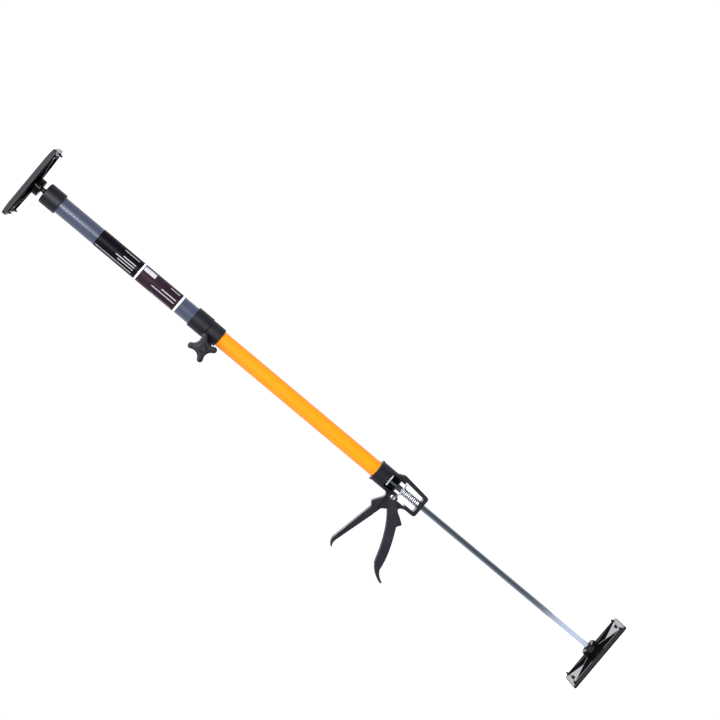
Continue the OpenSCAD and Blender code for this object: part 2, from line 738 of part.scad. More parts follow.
module rod() {
    color([0.55, 0.57, 0.6]) difference() {
        turned([[0, ball_z - 0.8 * ball_r], [spigot_r, ball_z - 0.8 * ball_r], [spigot_r, shoulder_z],
            [rod_r, shoulder_z], [rod_r, rod_top - 1], [rod_r - 1, rod_top], [0, rod_top]]);
        translate([0, 0, pin_z]) pin_y(pin_r + fit, -20, 20);
    }
}

module rod_guide() {
    r = core_r - 0.1;
    color([0.85, 0.84, 0.8]) difference() {
        turned([[rod_r + fit, guide_end], [r - 0.8, guide_end], [r, guide_end + 0.8], [r, guide_end + guide_l - 0.8],
            [r - 0.8, guide_end + guide_l], [rod_r + fit, guide_end + guide_l]]);
        translate([0, 0, pin_z]) pin_y(pin_r + fit, -20, 20);
    }
}

module rod_pin() {
    color(steel) translate([0, 0, pin_z]) difference() {
        pin_y(pin_r, 1 - core_r, core_r - 1);
        pin_y(0.6, -20, 20);
    }
}

clip_r = 4.4;

module floor_ball() {
    color([0.2, 0.2, 0.22]) difference() {
        translate([0, 0, ball_z]) sphere(r = ball_r);
        cylinder_z(ball_r, shoulder_z - gap, ball_z + ball_r + 1);
        cylinder_z(spigot_r + fit, ball_z - ball_r - 1, ball_z + ball_r + 1);
        cylinder_z(clip_r + gap, ball_z - ball_r - 1, ball_z - 0.54 * ball_r);
    }
}

module floor_ball_clip() {
    top = ball_z - 0.54 * ball_r - gap;
    color(steel) tube(clip_r, spigot_r, top - 1, 1);
}

module floor_ball_liner() {
    color([0.8, 0.8, 0.76]) at_floor() ball_liner();
}

module floor_socket_ring() {
    color([0.3, 0.3, 0.33]) at_floor() socket_ring();
}

module floor_pad_plate() {
    color(black) at_floor() pad_plate();
}

module floor_pad_rubber() {
    color([0.16, 0.15, 0.17]) at_floor() pad_rubber(floor_sole_t, floor_relief);
}

ceiling_pad_plate();
ceiling_pad_rubber();
ceiling_socket_ring();
ceiling_ball_liner();
ceiling_ball_stud();
end_cap();
outer_tube();
tube_label();
clamp_collar();
clamp_nut();
clamp_washer();
clamp_bolt();
clamp_knob();
inner_tube();
tube_guide_bush();
trigger_housing();
pivot_rivet();
trigger_lever();
drive_plate_a();
drive_plate_b();
drive_spring();
brake_plate();
brake_spring();
rod();
rod_guide();
rod_pin();
floor_ball();
floor_ball_clip();
floor_ball_liner();
floor_socket_ring();
floor_pad_plate();
floor_pad_rubber();
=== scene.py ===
"""Looks of a telescopic support pole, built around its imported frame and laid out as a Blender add-on."""
import json
import math

import bpy
from bpy.props import FloatProperty, FloatVectorProperty, PointerProperty
from mathutils import Matrix, Vector


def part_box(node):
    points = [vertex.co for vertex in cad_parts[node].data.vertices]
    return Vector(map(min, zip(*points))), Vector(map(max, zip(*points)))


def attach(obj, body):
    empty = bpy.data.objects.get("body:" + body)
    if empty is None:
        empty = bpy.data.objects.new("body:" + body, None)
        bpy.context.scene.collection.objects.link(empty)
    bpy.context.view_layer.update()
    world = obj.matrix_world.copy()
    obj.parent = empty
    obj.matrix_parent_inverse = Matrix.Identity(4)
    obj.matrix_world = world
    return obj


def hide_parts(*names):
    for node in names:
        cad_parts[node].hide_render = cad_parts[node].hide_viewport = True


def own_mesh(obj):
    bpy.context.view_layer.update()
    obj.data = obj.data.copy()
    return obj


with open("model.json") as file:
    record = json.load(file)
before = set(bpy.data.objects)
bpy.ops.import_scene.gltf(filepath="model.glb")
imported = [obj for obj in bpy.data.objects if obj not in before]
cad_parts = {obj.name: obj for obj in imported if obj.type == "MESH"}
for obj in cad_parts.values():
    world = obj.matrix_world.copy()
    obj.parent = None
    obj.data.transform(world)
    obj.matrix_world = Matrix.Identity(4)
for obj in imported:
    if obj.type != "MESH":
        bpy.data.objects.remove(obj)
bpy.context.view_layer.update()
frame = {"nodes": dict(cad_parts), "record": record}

bl_info = {
    "name": "Telescopic support pole",
    "version": (1, 0, 0),
    "blender": (4, 5, 0),
    "location": "View3D > Sidebar > Pole",
    "description": "Dresses a telescopic support pole with moulded, coated, steel and rubber finishes",
    "category": "Add Mesh",
}

MM = 0.001
MERGE = 0.001 * MM
SLIVER = 0.08
NODES = frame["nodes"]
BODY_OF = {node: body for body, nodes in frame["record"]["behaviour"]["bodies"].items() for node in nodes}
SLOT_OF = {part["node"]: part["material_slot"] for part in frame["record"]["subparts"]}


def linear(hex_colour):
    """sRGB hex, such as "FFAF0F", as linear red, green and blue."""
    channels = [int(hex_colour[i:i + 2], 16) / 255 for i in (0, 2, 4)]
    return [c / 12.92 if c <= 0.04045 else ((c + 0.055) / 1.055) ** 2.4 for c in channels]


def colour(name, description, hex_colour):
    return FloatVectorProperty(name=name, description=description, subtype="COLOR", size=3, min=0, max=1,
                               default=linear(hex_colour))


def length(name, description, millimetres, low=0.0):
    return FloatProperty(name=name, description=description, subtype="DISTANCE", unit="LENGTH",
                         default=millimetres * MM, min=low * MM)


class PoleColours(bpy.types.PropertyGroup):
    """Colours of the pole's finishes"""
    outer_coat: colour("Outer tube", "Powder coat of the outer tube", "383E53")
    inner_coat: colour("Inner tube", "Powder coat of the inner tube", "F38A00")
    moulding: colour("Mouldings", "Black polyamide of the housing, collar, cap and knob", "0D0C17")
    lever: colour("Lever", "Black polyamide of the trigger lever", "15141F")
    pad: colour("Pads", "Gloss black plastic of the pad plates", "060608")
    sole: colour("Ceiling sole", "Grey-brown rubber of the ceiling pad", "241F27")
    floor_sole: colour("Floor sole", "Black rubber of the floor pad", "0D0C10")
    liner: colour("Liners", "Off-white acetal of the bushes and liners", "D8D6CC")
    rod: colour("Rod", "Drawn steel of the feed rod", "9098A6")
    zinc: colour("Zinc", "Zinc plating of the screw, nut and washers", "DADCE0")
    nickel: colour("Nickel", "Nickel plating of the rivet", "A9A6A6")
    spring: colour("Spring", "Bright drawn wire of the drive spring", "DADCE0")
    blackened: colour("Blackened steel", "Black oxide on the small spring and clip", "35353A")
    film: colour("Film", "Dark print of the film round the outer tube", "08060E")
    film_low: colour("Film, lower half", "Plum print on the lower half of the film", "33212D")
    film_mark: colour("Film marks", "Pale rules and rings on the film", "F4F2F4")
    film_panel: colour("Film panel", "Bare panel and rules on the film", "BDBBC1")


class PoleSizes(bpy.types.PropertyGroup):
    """Sizes of edges and surface grain"""
    edge: length("Moulded edge", "Radius of the mouldings' rounded edges", 0.3)
    knob_reach: length("Knob reach", "Radius from the knob's middle to the tip of a lobe", 22.9)
    knob_tip: length("Knob tip", "Radius of the round at a lobe's tip", 4.9)
    knob_waist: length("Knob waist", "Radius of the knob's waist between its lobes", 12)
    knob_depth: length("Knob depth", "Thickness of the knob's lobes", 8.5)
    knob_edge: length("Knob edge", "Radius of the knob's rounded rims", 2.0)
    knob_turn: FloatProperty(name="Knob turn", description="Turn of the clamped knob in degrees", default=28)
    pad_edge: length("Pad edge", "Radius of the pad plates' and rings' edges", 0.25)
    sole_edge: length("Sole edge", "Radius of the rubber soles' edges", 0.1)
    metal_edge: length("Metal edge", "Radius of the edges of plates, nut, washer, screw and rivet", 0.15)
    grain: length("Moulded grain", "Grain size of the black mouldings", 0.5, 0.05)
    peel: length("Orange peel", "Ripple length of the powder coats", 1.6, 0.2)


def colours():
    return bpy.context.scene.pole_colours


def sizes():
    return bpy.context.scene.pole_sizes


def span(node):
    """Lowest and highest corner of a CAD node in millimetres."""
    low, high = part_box(node)
    return low / MM, high / MM


# Making and shaping

def deselect():
    bpy.ops.object.select_all(action="DESELECT")


def activate(piece):
    deselect()
    piece.select_set(True)
    bpy.context.view_layer.objects.active = piece


def apply_modifier(piece, kind, **settings):
    """Adds a modifier with its settings and applies it."""
    activate(piece)
    modifier = piece.modifiers.new(kind.lower(), kind)
    for name, value in settings.items():
        setattr(modifier, name, value)
    bpy.ops.object.modifier_apply(modifier=modifier.name)


def smooth(piece, degrees=32):
    activate(piece)
    bpy.ops.object.shade_smooth_by_angle(angle=math.radians(degrees))


def stand_for(piece, node):
    """The piece takes a CAD node's place: its body, its slot and its finish."""
    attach(piece, BODY_OF[node])
    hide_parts(node)
    dress(piece, finish(SLOT_OF[node]))
    return piece


def clean_copy(node, name, sliver):
    """A CAD node's shape as a new piece, with its triangles merged into flat faces and its edges shorter than
    a sliver, in millimetres, closed."""
    deselect()
    piece = bpy.data.objects.new(name, NODES[node].data.copy())
    bpy.context.scene.collection.objects.link(piece)
    activate(piece)
    bpy.ops.object.mode_set(mode="EDIT")
    bpy.ops.mesh.select_all(action="SELECT")
    bpy.ops.mesh.remove_doubles(threshold=sliver * MM)
    bpy.ops.mesh.dissolve_degenerate(threshold=sliver * MM)
    bpy.ops.mesh.dissolve_limited(angle_limit=math.radians(1))
    bpy.ops.object.mode_set(mode="OBJECT")
    return piece


def round_off(piece, width, segments=2, sharp=38):
    """Rounds every edge sharper than an angle in degrees, and keeps the shading of the faces between even."""
    apply_modifier(piece, "BEVEL", width=width, segments=segments, limit_method="ANGLE",
                   angle_limit=math.radians(sharp), use_clamp_overlap=False)
    smooth(piece)
    apply_modifier(piece, "WEIGHTED_NORMAL", keep_sharp=True)


def rounded_copy(node, name, width, segments=2, sharp=38, sliver=SLIVER):
    """A CAD node's shape with its sharp edges rounded."""
    piece = clean_copy(node, name, sliver)
    round_off(piece, width, segments, sharp)
    return stand_for(piece, node)


def turned(name, rings, vertices=96, closed=False):
    """A shape turned about Z: a circle is extruded from ring to ring, each (radius, height) in millimetres.
    A closed one ends on its first ring and is hollow; the others are capped at both ends."""
    deselect()
    radius, height = rings[0]
    bpy.ops.mesh.primitive_circle_add(vertices=vertices, radius=radius * MM, location=(0, 0, height * MM),
                                      fill_type="NOTHING" if closed else "NGON")
    piece = bpy.context.object
    piece.name = name
    bpy.ops.object.transform_apply(location=True)
    bpy.ops.object.mode_set(mode="EDIT")
    bpy.ops.mesh.select_all(action="SELECT")
    for next_radius, next_height in rings[1:]:
        bpy.ops.mesh.extrude_region_move(
            TRANSFORM_OT_translate={"value": (0, 0, (next_height - height) * MM)})
        scale = next_radius / radius
        bpy.ops.transform.resize(value=(scale, scale, 1), center_override=(0, 0, 0))
        radius, height = next_radius, next_height
    bpy.ops.mesh.select_all(action="SELECT")
    bpy.ops.mesh.remove_doubles(threshold=MERGE)
    bpy.ops.mesh.normals_make_consistent(inside=False)
    bpy.ops.object.mode_set(mode="OBJECT")
    return piece


def lobed_outline(reach, tip, waist, lobes=4, steps=20):
    """Points round a knob whose lobes end in rounds of radius tip, joined by round cuts that touch them and
    the waist's circle."""
    middle = reach - tip
    half = math.pi / lobes
    cut_away = (middle ** 2 - (waist - tip) ** 2) / (2 * (middle * math.cos(half) + tip - waist))
    cut_r = cut_away - waist
    cut_x, cut_y = cut_away * math.cos(half), cut_away * math.sin(half)
    meet = math.atan2(cut_y, cut_x - middle)
    points = []
    for lobe in range(lobes):
        turn = 2 * half * lobe
        shape = [(middle + tip * math.cos(a), tip * math.sin(a))
                 for a in (meet * (2 * i / steps - 1) for i in range(steps + 1))]
        start, end = meet - math.pi, 2 * half - meet - math.pi
        shape += [(cut_x + cut_r * math.cos(a), cut_y + cut_r * math.sin(a))
                  for a in (start + (end - start) * i / steps for i in range(1, steps))]
        points += [(x * math.cos(turn) - y * math.sin(turn), x * math.sin(turn) + y * math.cos(turn))
                   for x, y in shape]
    return points


def crowned_plate(name, outline, low, high, edge):
    """A plate with the given outline and fully rounded rims, from height low to high, in millimetres."""
    curve = bpy.data.curves.new(name, "CURVE")
    curve.dimensions = "2D"
    curve.fill_mode = "BOTH"
    curve.extrude = ((high - low) / 2 - edge) * MM
    curve.bevel_depth = edge * MM
    curve.bevel_resolution = 4
    curve.offset = -edge * MM
    spline = curve.splines.new("POLY")
    spline.points.add(len(outline) - 1)
    for point, (x, y) in zip(spline.points, outline):
        point.co = (x * MM, y * MM, 0, 1)
    spline.use_cyclic_u = True
    piece = bpy.data.objects.new(name, curve)
    bpy.context.scene.collection.objects.link(piece)
    piece.location = (0, 0, (high + low) / 2 * MM)
    return meshed(piece)


def meshed(piece):
    """Turns a curve into a closed mesh in place."""
    activate(piece)
    bpy.ops.object.convert(target="MESH")
    bpy.ops.object.transform_apply(location=True, rotation=True)
    bpy.ops.object.mode_set(mode="EDIT")
    bpy.ops.mesh.select_all(action="SELECT")
    bpy.ops.mesh.remove_doubles(threshold=MERGE)
    bpy.ops.mesh.normals_make_consistent(inside=False)
    bpy.ops.object.mode_set(mode="OBJECT")
    return bpy.context.object


def combine(piece, tool, operation):
    """Joins a tool's volume to a piece or cuts it away, and deletes the tool."""
    apply_modifier(piece, "BOOLEAN", object=tool, operation=operation, solver="EXACT")
    bpy.data.objects.remove(tool)


def place(piece, move=(0, 0, 0), turn=(0, 0, 0)):
    """Turns a piece, given in degrees, then moves it, given in millimetres, and applies both."""
    activate(piece)
    piece.rotation_euler = [math.radians(a) for a in turn]
    piece.location = Vector(move) * MM
    bpy.ops.object.transform_apply(location=True, rotation=True)


# Materials

def add(tree, kind, links=(), **settings):
    """Adds a node; a setting is a socket's value or, where no socket has that name, a node's property."""
    node = tree.nodes.new(kind)
    for name, value in settings.items():
        socket = node.inputs.get(name.replace("_", " "))
        if socket is not None:
            socket.default_value = value
        else:
            setattr(node, name, value)
    for output, name in links:
        tree.links.new(output, node.inputs[name])
    return node


def new_material(name, base, roughness, metallic=0.0, **settings):
    """A Principled material and the position on the object that its patterns read."""
    material = bpy.data.materials.new(name)
    material.use_nodes = True
    tree = material.node_tree
    shader = tree.nodes["Principled BSDF"]
    shader.inputs["Base Color"].default_value = (*base, 1)
    shader.inputs["Roughness"].default_value = roughness
    shader.inputs["Metallic"].default_value = metallic
    for socket, value in settings.items():
        shader.inputs[socket.replace("_", " ")].default_value = value
    return material, tree, shader, add(tree, "ShaderNodeTexCoord").outputs["Object"]


def noise(tree, where, size, detail=2.0, stretch=None):
    """Noise whose blotches are about size across, in metres; stretch lengthens them along Z."""
    if stretch:
        mapping = add(tree, "ShaderNodeMapping", [(where, "Vector")], Scale=(1, 1, 1 / stretch))
        where = mapping.outputs["Vector"]
    return add(tree, "ShaderNodeTexNoise", [(where, "Vector")], Scale=1 / size, Detail=detail).outputs["Fac"]


def mixed(tree, factor, first, second):
    """Mixes two colours by a factor; each colour is linear or another node's output."""
    node = add(tree, "ShaderNodeMix", data_type="RGBA")
    for index, value in ((0, factor), (6, first), (7, second)):
        if isinstance(value, bpy.types.NodeSocket):
            tree.links.new(value, node.inputs[index])
        else:
            node.inputs[index].default_value = (*value, 1) if index else value
    return node.outputs[2]


def mottle(tree, shader, factor, base, amount):
    """Lets the base colour wander by a share to either side."""
    dark = [c * (1 - amount) for c in base]
    light = [min(1, c * (1 + amount) + 0.002) for c in base]
    tree.links.new(mixed(tree, factor, dark, light), shader.inputs["Base Color"])


def vary_roughness(tree, shader, factor, low, high):
    ramp = add(tree, "ShaderNodeMapRange", [(factor, "Value")], From_Min=0.3, From_Max=0.7, To_Min=low,
               To_Max=high)
    tree.links.new(ramp.outputs["Result"], shader.inputs["Roughness"])


def bump(tree, shader, height, depth, strength):
    """Relief of a depth in metres."""
    node = add(tree, "ShaderNodeBump", [(height, "Height")], Strength=strength, Distance=depth)
    tree.links.new(node.outputs["Normal"], shader.inputs["Normal"])


def polyamide(name, base, grain, roughness, depth=0.03):
    """Glass-filled polyamide from a spark-eroded mould: a fine grain greys its soft gloss."""
    material, tree, shader, where = new_material(name, base, roughness, Specular_IOR_Level=0.32)
    broad = noise(tree, where, 22 * MM)
    mottle(tree, shader, broad, base, 0.12)
    vary_roughness(tree, shader, broad, roughness - 0.05, roughness + 0.05)
    bump(tree, shader, noise(tree, where, grain, 3.0), depth * MM, 0.5)
    return material


def polished_abs(name, base, roughness):
    """ABS from a polished mould: a deep gloss that mirrors its surroundings, with faint handling haze."""
    material, tree, shader, where = new_material(name, base, roughness, Specular_IOR_Level=0.16)
    haze = noise(tree, where, 9 * MM, 4.0)
    mottle(tree, shader, haze, base, 0.2)
    vary_roughness(tree, shader, haze, roughness, roughness + 0.05)
    bump(tree, shader, noise(tree, where, 14 * MM), 0.01 * MM, 0.3)
    return material


def rubber(name, base):
    """Compression-moulded rubber: dull seen square on, with a smooth skin that shines at a slant."""
    material, tree, shader, where = new_material(name, base, 0.5, Specular_IOR_Level=0.15, Coat_Weight=0.35,
                                                 Coat_Roughness=0.2, Coat_IOR=1.3)
    mottle(tree, shader, noise(tree, where, 5 * MM, 4.0), base, 0.14)
    vary_roughness(tree, shader, noise(tree, where, 12 * MM), 0.45, 0.6)
    bump(tree, shader, noise(tree, where, 0.6 * MM, 3.0), 0.03 * MM, 0.4)
    return material


def acetal(name, base):
    """Turned acetal: milky, with a waxy sheen."""
    material, tree, shader, where = new_material(name, base, 0.4, Subsurface_Weight=0.1)
    mottle(tree, shader, noise(tree, where, 8 * MM), base, 0.04)
    vary_roughness(tree, shader, noise(tree, where, 2 * MM), 0.34, 0.46)
    return material


def powder_coat(name, base, peel, gloss, roughness=0.34):
    """Powder coat cured on steel tube: an even colour under a soft gloss that ripples like orange peel."""
    material, tree, shader, where = new_material(name, base, roughness, Specular_IOR_Level=0.3,
                                                 Coat_Weight=gloss, Coat_Roughness=0.2)
    mottle(tree, shader, noise(tree, where, 30 * MM, 3.0), base, 0.03)
    vary_roughness(tree, shader, noise(tree, where, 6 * MM, 3.0), roughness - 0.04, roughness + 0.06)
    bump(tree, shader, noise(tree, where, peel, 1.0, 2.0), 0.01 * MM, 0.3)
    return material


def drawn_steel(name, base, roughness, line=0.5):
    """Cold-drawn steel: bright, with fine die lines along its length, drawn as wide as they need to show."""
    material, tree, shader, where = new_material(name, base, roughness, 1.0)
    lines = noise(tree, where, line * MM, 3.0, 400)
    mottle(tree, shader, lines, base, 0.1)
    vary_roughness(tree, shader, lines, roughness - 0.04, roughness + 0.06)
    bump(tree, shader, lines, 0.004 * MM, 0.3)
    return material


def plated_steel(name, base, roughness, spot=2.0):
    """Zinc or nickel plate: a satin metal with cloudy spots left by the bath and tumbling marks."""
    material, tree, shader, where = new_material(name, base, roughness, 1.0)
    clouds = noise(tree, where, spot * MM, 4.0)
    mottle(tree, shader, clouds, base, 0.1)
    vary_roughness(tree, shader, clouds, roughness - 0.08, roughness + 0.12)
    bump(tree, shader, noise(tree, where, 0.4 * MM, 2.0), 0.01 * MM, 0.5)
    return material


def maths(tree, operation, first, second=None):
    """One arithmetic step; each value is a number or another node's output."""
    node = add(tree, "ShaderNodeMath", operation=operation)
    for index, value in enumerate((first, second)):
        if isinstance(value, bpy.types.NodeSocket):
            tree.links.new(value, node.inputs[index])
        elif value is not None:
            node.inputs[index].default_value = value
    return node.outputs[0]


def between(tree, value, low, high):
    """1 where the value lies between low and high, else 0."""
    centre, half = (low + high) / 2, (high - low) / 2
    away = maths(tree, "ABSOLUTE", maths(tree, "SUBTRACT", value, centre))
    return maths(tree, "LESS_THAN", away, half)


def printed_film():
    """Printed polypropylene film with a satin varnish: black above, plum below, parted by pale rings, with
    plain pale rules and a bare panel."""
    tint = colours()
    low = span("tube_label")[0]
    base = tuple(tint.film)
    material, tree, shader, where = new_material("printed polypropylene film", base, 0.3,
                                                 Specular_IOR_Level=0.12)
    xyz = add(tree, "ShaderNodeSeparateXYZ", [(where, "Vector")]).outputs
    # Heights are from the film's lower end; angles are round the tube from the camera's side towards +X.
    up = maths(tree, "SUBTRACT", xyz["Z"], low.z * MM)
    round_ = maths(tree, "ARCTAN2", xyz["X"], maths(tree, "MULTIPLY", xyz["Y"], -1.0))
    ring_low, ring_high, foot_high = 77.2 * MM, 80.2 * MM, 3.2 * MM
    fade = add(tree, "ShaderNodeMapRange", [(up, "Value")], From_Min=30 * MM, From_Max=66 * MM)
    dim, dark = 0.75, 0.6
    cloud = mixed(tree, noise(tree, where, 30 * MM, 2.0), [c * dim for c in tint.film_low], tint.film_low)
    plum = mixed(tree, fade.outputs["Result"], [c * dark for c in tint.film_low], cloud)
    surface = mixed(tree, maths(tree, "LESS_THAN", up, ring_low), base, plum)
    # Each rule is an angle in radians and the two heights in millimetres that it runs between.
    rules = [(0.84, 88, 116), (0.17, 88, 112), (-0.12, 88, 124), (-0.41, 88, 118), (-0.82, 88, 158),
             (0.84, 8, 26), (0.06, 8, 36), (-0.30, 8, 52), (-1.15, 8, 48)]
    half_rule = 0.04
    panel = maths(tree, "MULTIPLY", between(tree, round_, 0.42, 1.0), between(tree, up, 54 * MM, 76 * MM))
    for angle, start, end in rules:
        rule = maths(tree, "MULTIPLY", between(tree, round_, angle - half_rule, angle + half_rule),
                     between(tree, up, start * MM, end * MM))
        panel = maths(tree, "MAXIMUM", panel, rule)
    foot = maths(tree, "LESS_THAN", up, foot_high)
    rings = maths(tree, "MAXIMUM", between(tree, up, ring_low, ring_high), foot)
    printed = mixed(tree, panel, surface, tint.film_panel)
    tree.links.new(mixed(tree, rings, printed, tint.film_mark), shader.inputs["Base Color"])
    vary_roughness(tree, shader, noise(tree, where, 8 * MM, 3.0), 0.26, 0.36)
    bump(tree, shader, noise(tree, where, 5 * MM, 2.0), 0.02 * MM, 0.4)
    return material


def finish(slot):
    """The material of a slot of the record, made when it is first asked for."""
    tint = colours()
    grain, peel = sizes().grain, sizes().peel
    makers = {
        "pad_plastic": lambda: polished_abs("polished ABS, pad", tint.pad, 0.04),
        "ring_plastic": lambda: polished_abs("polished ABS, ring", tint.pad, 0.1),
        "grey_rubber": lambda: rubber("moulded rubber, grey", tint.sole),
        "dark_rubber": lambda: rubber("moulded rubber, black", tint.floor_sole),
        "acetal": lambda: acetal("turned acetal", tint.liner),
        "black_steel": lambda: plated_steel("black oxide steel", tint.blackened, 0.35),
        "cap_plastic": lambda: polyamide("grained polyamide, cap", tint.moulding, grain, 0.42),
        "collar_plastic": lambda: polyamide("grained polyamide, collar", tint.moulding, grain, 0.46),
        "knob_plastic": lambda: polyamide("grained polyamide, knob", tint.moulding, grain, 0.4),
        "housing_plastic": lambda: polyamide("grained polyamide, housing", tint.moulding, grain, 0.44),
        "lever_plastic": lambda: polyamide("grained polyamide, lever", tint.lever, grain, 0.44),
        "blue_grey_paint": lambda: powder_coat("powder coat, blue grey", tint.outer_coat, peel, 0.9),
        "orange_paint": lambda: powder_coat("powder coat, orange", tint.inner_coat, peel, 0.15),
        "printed_film": printed_film,
        "zinc_steel": lambda: plated_steel("zinc plated steel", tint.zinc, 0.3),
        "nickel_steel": lambda: plated_steel("nickel plated steel", tint.nickel, 0.22, 3.0),
        "plate_steel": lambda: plated_steel("zinc plated sheet steel", tint.zinc, 0.34, 4.0),
        "spring_steel": lambda: plated_steel("bright spring wire", tint.spring, 0.16, 1.0),
        "bright_steel": lambda: plated_steel("ground sheet steel", tint.spring, 0.4, 5.0),
        "rod_steel": lambda: drawn_steel("cold-drawn steel rod", tint.rod, 0.18),
    }
    found = bpy.data.materials.get(FINISHES.get(slot, ""))
    if found is None:
        found = makers[slot]()
        FINISHES[slot] = found.name
    return found


FINISHES = {}


def dress(piece, material):
    piece.data.materials.clear()
    piece.data.materials.append(material)


# Pieces

class POLE_OT_pads(bpy.types.Operator):
    """Round the edges of both pads: sole, ribbed plate and the socket's snap ring"""
    bl_idname = "pole.pads"
    bl_label = "Pads"

    def execute(self, context):
        for end, sliver in (("ceiling", 0.2), ("floor", SLIVER)):
            rounded_copy(f"{end}_pad_rubber", f"{end}_sole", sizes().sole_edge)
            rounded_copy(f"{end}_pad_plate", f"{end}_ribbed_plate", sizes().pad_edge, sliver=sliver)
            rounded_copy(f"{end}_socket_ring", f"{end}_snap_ring", sizes().pad_edge * 0.7)
        return {"FINISHED"}


class POLE_OT_mouldings(bpy.types.Operator):
    """Round the edges of the collar, housing, lever and cap, and shape the knob and a black ring of painted
    shade in the collar's slit
    """
    bl_idname = "pole.mouldings"
    bl_label = "Mouldings"

    def execute(self, context):
        edge = sizes().edge
        rounded_copy("clamp_collar", "collar_moulding", edge, sharp=50)
        rounded_copy("trigger_housing", "housing_moulding", edge, sliver=0.2)
        rounded_copy("trigger_lever", "lever_moulding", edge * 2 / 3)
        rounded_copy("end_cap", "cap_moulding", edge)
        self.knob()
        # Painted shade: a black ring darkens the collar's slit.
        self.slit_shade_ring()
        return {"FINISHED"}

    def knob(self):
        """Four crowned lobes, a dished boss in front and a stem behind, bored for the screw and its head."""
        size = sizes()
        front, back = (-corner.y for corner in span("clamp_knob"))
        boss, stem_r, bore_r, head_r = 1.2, 7.5, 3.1, 5.85
        head_depth, head_t, past = 3.4, 4.2, 1
        top = front - boss
        head_high = top - head_depth
        head_low = head_high - head_t
        outline = lobed_outline(size.knob_reach / MM, size.knob_tip / MM, size.knob_waist / MM)
        piece = crowned_plate("knob_moulding", outline, top - size.knob_depth / MM, top, size.knob_edge / MM)
        rings = [(stem_r, back), (stem_r, top), (stem_r - 0.5, top + 0.8), (stem_r - 1.2, front),
                 (stem_r - 2.2, front), (stem_r - 3.0, front - 0.7)]
        core = turned("knob_core", rings)
        combine(piece, core, "UNION")
        bore = turned("knob_bore", [(bore_r, back - past), (bore_r, head_low), (head_r, head_low),
                                    (head_r, head_high)], vertices=48)
        combine(piece, bore, "DIFFERENCE")
        low, high = span("clamp_bolt")
        centre = (low + high) / 2
        place(piece, (centre.x, 0, centre.z), (90, -size.knob_turn, 0))
        smooth(piece, 30)
        stand_for(piece, "clamp_knob")

    def slit_shade_ring(self):
        """A black ring at the root of the slit between the collar's sleeve and its clamp ring. It is painted
        shade: it closes the slit's root so that the slit shows dark, standing in for the shade deep inside
        it, instead of showing the orange tube.
        """
        clearance, depth, shoulder, slit = 0.05, 1.2, 0.6, 0.8
        bore = span("inner_tube")[1].x + clearance
        high = span("outer_tube")[0].z - shoulder
        low = high - slit
        rings = [(bore, low), (bore + depth, low), (bore + depth, high), (bore, high), (bore, low)]
        # Painted shade: this black ring stands in for the shade deep in the collar's slit.
        shade_ring = turned("collar_slit_shade_ring", rings, closed=True)
        rim = 0.1 * MM
        round_off(shade_ring, rim)
        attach(shade_ring, "outer")
        dress(shade_ring, finish("collar_plastic"))


class POLE_OT_metalwork(bpy.types.Operator):
    """Ease the edges of the clamp's screw, nut and washer, the rivet, the plates and the ball stud"""
    bl_idname = "pole.metalwork"
    bl_label = "Metalwork"

    def execute(self, context):
        for node in ("clamp_bolt", "clamp_nut", "clamp_washer", "pivot_rivet", "drive_plate_a",
                     "drive_plate_b", "brake_plate", "ceiling_ball_stud"):
            rounded_copy(node, f"eased_{node}", sizes().metal_edge)
        return {"FINISHED"}


class POLE_OT_springs(bpy.types.Operator):
    """Wind both coil springs, with their end turns closed"""
    bl_idname = "pole.springs"
    bl_label = "Springs"

    def execute(self, context):
        self.wind("drive_spring", "drive_coil", wire=1.6, turns=9)
        self.wind("brake_spring", "brake_coil", wire=0.8, turns=5)
        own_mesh(bpy.data.objects["drive_coil"])
        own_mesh(bpy.data.objects["brake_coil"])
        return {"FINISHED"}

    def wind(self, node, name, wire, turns):
        """A wire of a diameter follows a helix of evenly spaced turns between two closed end turns, whose
        pitch is a little over the wire's diameter."""
        low, high = span(node)
        centre = (low + high) / 2
        reach = (high.x - low.x) / 2 - wire / 2
        bottom, top = low.z + wire / 2, high.z - wire / 2
        closed, steps = wire * 1.04, 28
        curve = bpy.data.curves.new(name, "CURVE")
        curve.dimensions = "3D"
        curve.bevel_depth = wire / 2 * MM
        curve.bevel_resolution = 3
        curve.use_fill_caps = True
        spline = curve.splines.new("POLY")
        spline.points.add(steps * (turns + 2))
        for i, point in enumerate(spline.points):
            turn = i / steps
            if turn < 1:
                height = bottom + closed * turn
            elif turn > turns + 1:
                height = top - closed * (turns + 2 - turn)
            else:
                height = bottom + closed + (top - bottom - 2 * closed) * (turn - 1) / turns
            angle = 2 * math.pi * turn
            point.co = ((centre.x + reach * math.cos(angle)) * MM, (centre.y + reach * math.sin(angle)) * MM,
                        height * MM, 1)
        piece = bpy.data.objects.new(name, curve)
        bpy.context.scene.collection.objects.link(piece)
        piece = meshed(piece)
        smooth(piece, 50)
        stand_for(piece, node)


class POLE_OT_carried_over(bpy.types.Operator):
    """Give the finish of its slot to each part that keeps its frame shape"""
    bl_idname = "pole.carried_over"
    bl_label = "Carried-over parts"

    def execute(self, context):
        for node, piece in NODES.items():
            if not piece.hide_render:
                dress(piece, finish(SLOT_OF[node]))
        return {"FINISHED"}


